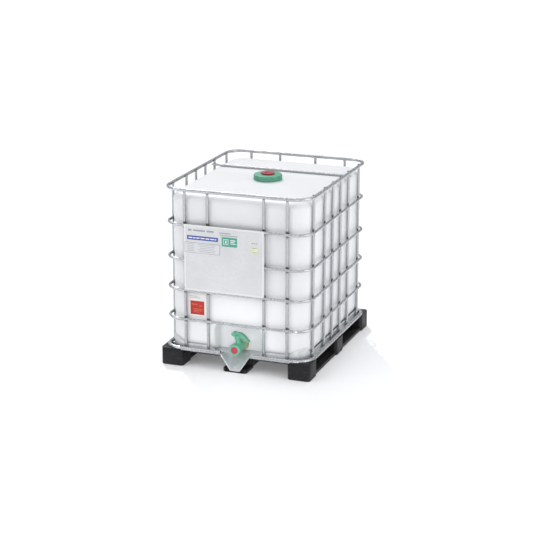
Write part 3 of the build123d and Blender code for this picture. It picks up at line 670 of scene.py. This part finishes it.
def cad_copy(node):
    """A copy of a CAD node's mesh with its loose triangles merged into clean faces."""
    bm = bmesh.new()
    bm.from_mesh(NODES[node].data)
    bmesh.ops.remove_doubles(bm, verts=bm.verts, dist=JOIN)
    bmesh.ops.dissolve_limit(
        bm,
        angle_limit=math.radians(FLAT_ANGLE),
        verts=bm.verts,
        edges=bm.edges,
        use_dissolve_boundaries=False,
    )
    bm.normal_update()
    return bm


def bevel(bm, edges, radius, segments):
    bmesh.ops.bevel(
        bm,
        geom=edges,
        offset=radius,
        offset_type="OFFSET",
        segments=segments,
        profile=0.5,
        affect="EDGES",
        clamp_overlap=True,
        material=-1,
    )


def round_edges(bm, radius, segments, least_angle=30.0):
    """Rounds every edge sharper than an angle."""
    least = math.radians(least_angle)
    edges = [edge for edge in bm.edges if edge.is_manifold and edge.calc_face_angle(0.0) > least]
    if edges:
        bevel(bm, edges, radius, segments)
    return bm


def rounded_node(node, name, material, body, radius, segments, least_angle=MOULDED_ANGLE):
    """A CAD node's shape with its edges rounded, standing in its place."""
    bm = round_edges(cad_copy(node), radius, segments, least_angle)
    return finished(name, bm, material, body, replaced=(node,))


def box_into(bm, low, high):
    """Adds a box between two corners."""
    low, high = Vector(low), Vector(high)
    size = high - low
    place = Matrix.Translation((low + high) / 2) @ Matrix.Diagonal((*size, 1.0))
    bmesh.ops.create_cube(bm, size=1.0, matrix=place)


# Pieces -----------------------------------------------------------------------------------------


class CONTAINER_OT_cage(bpy.types.Operator):
    """Finish the cage: tubes, bolts, clips and the weld spots where tubes cross"""

    bl_idname = "container.cage"
    bl_label = "Cage"

    def execute(self, context):
        for node in TUBE_NODES:
            paint(NODES[node], tube_zinc())
        for node in POST_NODES:
            paint(NODES[node], made_once("Post Zinc", post_finish))
        for node in FASTENER_NODES:
            paint(
                NODES[node],
                made_once("Zinc Plate", lambda: brushed_finish("Zinc Plate", (0.62, 0.61, 0.56))),
            )
        paint(NODES["plate_clips"], sheet_zinc())
        self.welds()
        return {"FINISHED"}

    def welds(self):
        """Spots on both sides of each post, above and below every ring that it crosses."""
        bm = bmesh.new()
        ring_low, ring_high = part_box(RING_NODES[0])
        tube = (ring_high.z - ring_low.z) / 2
        levels = ring_levels()
        for node in POST_NODES:
            low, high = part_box(node)
            centre = (low + high) / 2
            stands_in_x_row = node.startswith(("post_front", "post_back"))
            at_low_side = node.startswith(("post_front", "post_left"))
            edge = ring_low if at_low_side else ring_high
            inward = tube * WELD_DEPTH if at_low_side else -tube * WELD_DEPTH
            for level, side, above in itertools.product(levels, (-1.0, 1.0), (-1.0, 1.0)):
                spot = Vector((centre.x, centre.y, level + above * tube * WELD_RISE))
                if stands_in_x_row:
                    spot.x += side * WELD_SIDE
                    spot.y = edge.y + inward
                else:
                    spot.y += side * WELD_SIDE
                    spot.x = edge.x + inward
                bmesh.ops.create_icosphere(
                    bm, subdivisions=1, radius=sizes().weld, matrix=Matrix.Translation(spot)
                )
        finished("Cage_Welds", bm, sheet_zinc(), BODY)


class CONTAINER_OT_floor_pan(bpy.types.Operator):
    """Build the sheet pan under the bottle and the spout under the valve"""

    bl_idname = "container.floor_pan"
    bl_label = "Floor pan and spout"

    def execute(self, context):
        for node, name in (("floor_pan", "Floor_Pan"), ("drip_spout", "Drip_Spout")):
            rounded_node(node, name, sheet_zinc(), BODY, 0.4 * MM, 2, 50.0)
        return {"FINISHED"}


class CONTAINER_OT_pallet(bpy.types.Operator):
    """Build the plastic pallet: deck with its feet, ribs below it, and three skids"""

    bl_idname = "container.pallet"
    bl_label = "Pallet"

    def execute(self, context):
        radius = sizes().pallet_round
        rounded_node("pallet_deck", "Pallet_Deck", black_plastic(), BODY, radius, 3)
        for place in ("left", "middle", "right"):
            rounded_node(
                "pallet_skid_" + place,
                f"Pallet_Skid_{place.title()}",
                black_plastic(),
                BODY,
                0.9 * MM,
                2,
                30.0,
            )
        self.ribs()
        return {"FINISHED"}

    def ribs(self):
        """Stiffening ribs between the feet, under the deck."""
        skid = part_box("pallet_skid_left")
        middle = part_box("pallet_skid_middle")
        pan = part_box("floor_pan")
        top = pan[0].z - 15.5 * MM
        bottom = top - 12.0 * MM
        wall = 2.5 * MM
        clear = 4.0 * MM
        back = pan[1].y - 24.0 * MM
        bm = bmesh.new()
        for inner, outer in ((skid[1].x, middle[0].x), (middle[1].x, -skid[1].x)):
            start = inner + clear
            stop = outer - clear
            count = max(2, round((stop - start) / sizes().rib_gap))
            for step in range(count + 1):
                x = start + (stop - start) * step / count
                box_into(bm, (x - wall, -back, bottom), (x + wall, back, top))
            rows = round(2 * back / sizes().rib_gap)
            for step in range(rows + 1):
                y = -back + 2 * back * step / rows
                box_into(bm, (start, y - wall, bottom), (stop, y + wall, top))
        round_edges(bm, 0.8 * MM, 1)
        finished("Pallet_Ribs", bm, black_plastic(), BODY)


class CONTAINER_OT_bottle(bpy.types.Operator):
    """Build the blown bottle with walls that swell between the cage rings"""

    bl_idname = "container.bottle"
    bl_label = "Bottle"

    def execute(self, context):
        bm = cad_copy("inner_bottle")
        low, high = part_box("inner_bottle")
        self.cut_bands(bm, low, high)
        self.draw_in(bm, low, high)
        finished(
            "Blown_Bottle",
            bm,
            bottle_finish(),
            BODY,
            replaced=("inner_bottle",),
            smooth_angle=MOULDED_ANGLE,
        )
        return {"FINISHED"}

    def draw_in(self, bm, low, high):
        """Draws the walls in behind each ring, and leaves the neck and the recess alone."""
        levels = ring_levels()
        swell = sizes().swell
        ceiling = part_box("fill_lid")[0].z - SHOULDER_DROP
        for vert in bm.verts:
            place = vert.co
            at_neck = place.z > ceiling
            behind_valve = abs(place.x) < RECESS_HALF and place.y < low.y + RECESS_DEPTH
            if at_neck or (behind_valve and place.z < RECESS_TOP):
                continue
            draw = max(math.exp(-(((place.z - level) / BAND_HEIGHT) ** 2)) for level in levels)
            if abs(place.x) > high.x - WALL_DEPTH:
                place.x -= math.copysign(swell * draw, place.x)
            if abs(place.y) > high.y - WALL_DEPTH:
                place.y -= math.copysign(swell * draw, place.y)

    def cut_bands(self, bm, low, high):
        """Cuts the big faces into bands so that they can draw in smoothly."""
        cuts = []
        level = low.z + 0.1
        while level < high.z - 0.08:
            cuts.append(((0, 0, level), (0, 0, 1)))
            level += BAND_STEP
        edge = 47.0 * MM
        ring = 100.0 * MM
        cuts += [((x, 0, 0), (1, 0, 0)) for x in (low.x + edge, -ring, ring, high.x - edge)]
        cuts += [((0, y, 0), (0, 1, 0)) for y in (low.y + edge, -ring, ring, high.y - edge)]
        for place, normal in cuts:
            geometry = bm.verts[:] + bm.edges[:] + bm.faces[:]
            bmesh.ops.bisect_plane(
                bm, geom=geometry, dist=CUT_JOIN, plane_co=place, plane_no=normal
            )


class CONTAINER_OT_lid(bpy.types.Operator):
    """Build the ribbed screw lid and the plug in its middle"""

    bl_idname = "container.lid"
    bl_label = "Lid and vent plug"

    def execute(self, context):
        radius = sizes().fitting_round
        rounded_node("fill_lid", "Fill_Lid", green_plastic(), "lid_turn", radius, 3)
        rounded_node("vent_plug", "Vent_Plug", red_plastic(), "plug_turn", 0.7 * MM, 2)
        for node in SEAL_NODES:
            paint(NODES[node], made_once("Seal Rubber", rubber_finish))
        return {"FINISHED"}


class CONTAINER_OT_valve(bpy.types.Operator):
    """Build the discharge valve: body, union nut, flap, stem and handle"""

    bl_idname = "container.valve"
    bl_label = "Discharge valve"

    def execute(self, context):
        radius = sizes().fitting_round
        green = green_plastic()
        rounded_node("valve_body", "Valve_Body", green, BODY, 0.5 * MM, 2)
        # The nut's olive is its beige tone with painted shade of its shaded side mixed in
        nut_with_shade = moulded_finish("Nut Plastic", tuple(colours().nut_with_shade), 0.34, 0.5)
        rounded_node("union_nut", "Union_Nut", nut_with_shade, BODY, radius, 3)
        rounded_node("valve_handle", "Valve_Handle", green, "handle_turn", 2.0 * MM, 4)
        rounded_node("valve_flap", "Valve_Flap", green, "handle_turn", 0.4 * MM, 2)
        paint(
            NODES["valve_stem"],
            made_once("Turned Steel", lambda: brushed_finish("Turned Steel", (0.66, 0.66, 0.65))),
        )
        return {"FINISHED"}


class CONTAINER_OT_outlet_cap(bpy.types.Operator):
    """Build the ribbed outlet cap and the disc pressed into its face"""

    bl_idname = "container.outlet_cap"
    bl_label = "Outlet cap"

    def execute(self, context):
        radius = sizes().fitting_round
        green = green_plastic()
        red = red_plastic()
        rounded_node("outlet_cap", "Outlet_Cap", green, "cap_turn", radius, 3)
        rounded_node("outlet_cap_disc", "Cap_Disc", red, "cap_turn", 0.5 * MM, 2, 30.0)
        return {"FINISHED"}


class CONTAINER_OT_signs(bpy.types.Operator):
    """Build the sign plate with its folded border, and print the stickers and the label"""

    bl_idname = "container.signs"
    bl_label = "Signs and labels"

    def execute(self, context):
        self.plate()
        self.stickers()
        self.bottle_label()
        return {"FINISHED"}

    def plate(self):
        low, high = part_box("sign_plate")
        bm = bmesh.new()
        box_into(bm, low, high)
        front = min(bm.faces, key=lambda face: face.calc_center_median().y)
        border = 9.0 * MM
        bmesh.ops.inset_region(bm, faces=[front], thickness=border, depth=0.0)
        bmesh.ops.inset_region(bm, faces=[front], thickness=1.2 * MM, depth=-0.7 * MM)
        corners = [
            edge
            for edge in bm.edges
            if abs(edge.verts[0].co.y - edge.verts[1].co.y) > 1.0 * MM
            and abs(edge.verts[0].co.x - edge.verts[1].co.x) < 1e-6
            and edge.calc_face_angle(0.0) > 1.0
        ]
        bevel(bm, corners, 4.0 * MM, 4)
        finished("Sign_Plate", bm, sign_finish(), BODY, replaced=("sign_plate",))

    def stickers(self):
        white = (0.8, 0.81, 0.82)
        low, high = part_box("blue_sticker")
        middle = (low.z + high.z) / 2
        blocks = [
            (low.x + offset * MM, middle, half * MM, 3.6 * MM, white)
            for offset, half in ((22, 12), (48, 9), (73, 11), (104, 14), (137, 13), (168, 12), (190, 6))
        ]
        paint(NODES["blue_sticker"], printed_finish("Blue Sticker", tuple(colours().blue), blocks))
        low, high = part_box("green_sticker")
        centre = (low + high) / 2
        blocks = [
            (low.x + 27 * MM, centre.z, 17 * MM, 17 * MM, white),
            (low.x + 27 * MM, centre.z, 14 * MM, 14 * MM, tuple(colours().teal)),
            (low.x + 27 * MM, centre.z, 4 * MM, 9 * MM, white),
            (high.x - 27 * MM, centre.z + 12 * MM, 17 * MM, 3 * MM, white),
            (high.x - 30 * MM, centre.z + 1 * MM, 14 * MM, 2.2 * MM, white),
            (high.x - 26 * MM, centre.z - 9 * MM, 18 * MM, 2.2 * MM, white),
        ]
        paint(NODES["green_sticker"], printed_finish("Green Sticker", tuple(colours().teal), blocks))
        low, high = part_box("yellow_sticker")
        centre = (low + high) / 2
        dark = (0.12, 0.12, 0.1)
        blocks = [
            (centre.x, centre.z, 13 * MM, 11 * MM, white),
            (centre.x, high.z - 3 * MM, 13 * MM, 1.2 * MM, dark),
            (centre.x - 3 * MM, centre.z, 9 * MM, 1.2 * MM, dark),
            (centre.x, low.z + 7 * MM, 12 * MM, 1.2 * MM, dark),
        ]
        paint(NODES["yellow_sticker"], printed_finish("Yellow Sticker", tuple(colours().yellow), blocks))
        low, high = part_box("nameplate")
        grey = (0.33, 0.34, 0.36)
        centre = (low + high) / 2
        half = (high - low) / 2
        blocks = [(centre.x, centre.z, half.x - 2 * MM, half.z - 2 * MM, (0.64, 0.65, 0.67))]
        for row in range(5):
            z = high.z - (10 + 11 * row) * MM
            blocks.append((low.x + 40 * MM, z, (26 - 3 * (row % 2)) * MM, 1.3 * MM, grey))
            blocks.append((low.x + 150 * MM, z, (60 - 7 * (row % 3)) * MM, 1.3 * MM, grey))
        paint(
            NODES["nameplate"],
            printed_finish("Nameplate Aluminium", (0.30, 0.31, 0.33), blocks, metallic=0.6, roughness=0.36),
        )

    def bottle_label(self):
        low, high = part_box("bottle_label")
        red = tuple(colours().label_red)
        white = (0.82, 0.82, 0.82)
        faded = (0.66, 0.16, 0.11)
        middle = (low.x + high.x) / 2
        square = low.z + 56 * MM
        blocks = [
            (middle, square, 47 * MM, 45 * MM, red),
            (middle - 20 * MM, square + 22 * MM, 20 * MM, 2.6 * MM, faded),
            (middle + 4 * MM, square - 8 * MM, 30 * MM, 1.8 * MM, faded),
            (middle + 4 * MM, square - 18 * MM, 30 * MM, 1.8 * MM, faded),
            (middle - 6 * MM, square - 28 * MM, 20 * MM, 1.8 * MM, faded),
            (middle + 22 * MM, square + 14 * MM, 9 * MM, 2.6 * MM, faded),
            (middle - 24 * MM, high.z - 18 * MM, 26 * MM, 1.5 * MM, (0.3, 0.3, 0.32)),
            (middle - 14 * MM, high.z - 28 * MM, 36 * MM, 1.5 * MM, (0.3, 0.3, 0.32)),
        ]
        paint(NODES["bottle_label"], printed_finish("Bottle Label Paper", white, blocks, roughness=0.55))


# Stage ------------------------------------------------------------------------------------------


class CONTAINER_OT_stage(bpy.types.Operator):
    """Lay the pale floor, hang the soft lights and place the camera"""

    bl_idname = "container.stage"
    bl_label = "Stage"

    def execute(self, context):
        self.floor()
        self.light("Overhead Softbox", (0.0, 0.5, 5.0), (0.0, 0.0, 0.5), 5.0, 14.0)
        self.light("Left Softbox", (-4.2, -4.6, 2.6), (0.0, 0.0, 0.6), 3.0, 52.0)
        self.light("Right Softbox", (5.2, -1.2, 2.2), (0.0, 0.0, 0.6), 3.0, 70.0)
        self.light("Front Softbox", (2.4, -8.0, 1.2), (0.0, 0.0, 0.4), 2.4, 38.0)
        self.beam("Valve Spot", "SPOT", (1.5, -4.2, 1.35), (0.0, -0.5, 0.17), 480.0)
        self.beam("Window Sun", "SUN", (-2.9, 4.1, 4.6), (0.0, 0.0, 0.0), 1.1)
        world = bpy.data.worlds.new("Studio White")
        world.use_nodes = True
        self.sky(world.node_tree)
        context.scene.world = world
        context.scene.view_settings.view_transform = "Standard"
        self.camera(context)
        return {"FINISHED"}

    def sky(self, tree):
        """A white studio ceiling that falls off to grey walls, so that tubes show dark edges."""
        place = shader_node(tree, "ShaderNodeTexCoord")
        split = shader_node(tree, "ShaderNodeSeparateXYZ")
        rise = shader_node(tree, "ShaderNodeMapRange", interpolation_type="SMOOTHSTEP")
        rise.inputs["From Min"].default_value = 0.05
        rise.inputs["From Max"].default_value = 0.75
        rise.inputs["To Min"].default_value = SKY_WALLS
        rise.inputs["To Max"].default_value = SKY_CEILING
        wire(tree, place.outputs["Generated"], split.inputs["Vector"])
        wire(tree, split.outputs["Z"], rise.inputs["Value"])
        wire(tree, rise.outputs["Result"], tree.nodes["Background"].inputs["Strength"])
        tree.nodes["Background"].inputs["Color"].default_value = (0.975, 0.985, 1.0, 1.0)

    def floor(self):
        bm = bmesh.new()
        bmesh.ops.create_grid(bm, x_segments=2, y_segments=2, size=FLOOR_HALF)
        mesh = bpy.data.meshes.new("Pale_Floor")
        bm.to_mesh(mesh)
        bm.free()
        floor = bpy.data.objects.new("Pale_Floor", mesh)
        bpy.context.scene.collection.objects.link(floor)
        finish = Finish("Pale_Floor", 0.7)
        patches = finish.group("Blotches", scale=0.6, low=0.3, high=0.7)
        colour = finish.colour_mix(patches.outputs["Mask"], (0.93, 0.935, 0.945), (0.92, 0.925, 0.935))
        finish.shader.inputs["Emission Color"].default_value = (1.0, 1.0, 1.0, 1.0)
        finish.shader.inputs["Emission Strength"].default_value = FLOOR_GLOW
        paint(floor, finish.done(colour, finish.level(patches.outputs["Mask"], 0.65, 0.75)))

    def light(self, name, place, target, size, power):
        """A square soft light."""
        data = bpy.data.lights.new(name, "AREA")
        data.shape = "SQUARE"
        data.size = size
        self.hang(name, data, place, target, power)

    def beam(self, name, kind, place, target, power):
        """A narrow spot for the valve's recess, or the weak sun that lays the pale shadow."""
        data = bpy.data.lights.new(name, kind)
        if kind == "SPOT":
            data.spot_size = math.radians(9.0)
            data.spot_blend = 1.0
            data.shadow_soft_size = 0.3
        else:
            data.angle = math.radians(2.0)
        self.hang(name, data, place, target, power)

    def hang(self, name, data, place, target, power):
        """Places a light and aims it at its target."""
        data.energy = power
        lamp = bpy.data.objects.new(name, data)
        lamp.location = place
        aim = Vector(target) - Vector(place)
        lamp.rotation_euler = aim.to_track_quat("-Z", "Y").to_euler()
        bpy.context.scene.collection.objects.link(lamp)

    def camera(self, context):
        data = bpy.data.cameras.new("Camera")
        data.sensor_width = CAMERA_SENSOR
        data.lens = CAMERA_LENS
        camera = bpy.data.objects.new("Camera", data)
        camera.location = CAMERA_PLACE
        camera.rotation_euler = (math.radians(CAMERA_TILT), 0.0, math.radians(CAMERA_TURN))
        context.scene.collection.objects.link(camera)
        context.scene.camera = camera


class CONTAINER_PT_panel(bpy.types.Panel):
    """Lists the pieces of the container and their settings"""

    bl_idname = "CONTAINER_PT_panel"
    bl_label = "Bulk Container"
    bl_space_type = "VIEW_3D"
    bl_region_type = "UI"
    bl_category = "Container"

    def draw(self, context):
        for operator in BUILD_ORDER:
            self.layout.operator(operator.bl_idname)
        for settings in (context.scene.container_sizes, context.scene.container_colours):
            box = self.layout.box()
            for name in settings.__annotations__:
                box.prop(settings, name)


BUILD_ORDER = (
    CONTAINER_OT_cage,
    CONTAINER_OT_floor_pan,
    CONTAINER_OT_pallet,
    CONTAINER_OT_bottle,
    CONTAINER_OT_lid,
    CONTAINER_OT_valve,
    CONTAINER_OT_outlet_cap,
    CONTAINER_OT_signs,
    CONTAINER_OT_stage,
)
CLASSES = (ContainerSizes, ContainerColours, *BUILD_ORDER, CONTAINER_PT_panel)


def register():
    for cls in CLASSES:
        bpy.utils.register_class(cls)
    bpy.types.Scene.container_sizes = bpy.props.PointerProperty(type=ContainerSizes)
    bpy.types.Scene.container_colours = bpy.props.PointerProperty(type=ContainerColours)


def unregister():
    del bpy.types.Scene.container_colours
    del bpy.types.Scene.container_sizes
    for cls in reversed(CLASSES):
        bpy.utils.unregister_class(cls)


def main():
    register()
    for operator in BUILD_ORDER:
        group, name = operator.bl_idname.split(".")
        getattr(getattr(bpy.ops, group), name)()


if __name__ == "__main__":
    main()
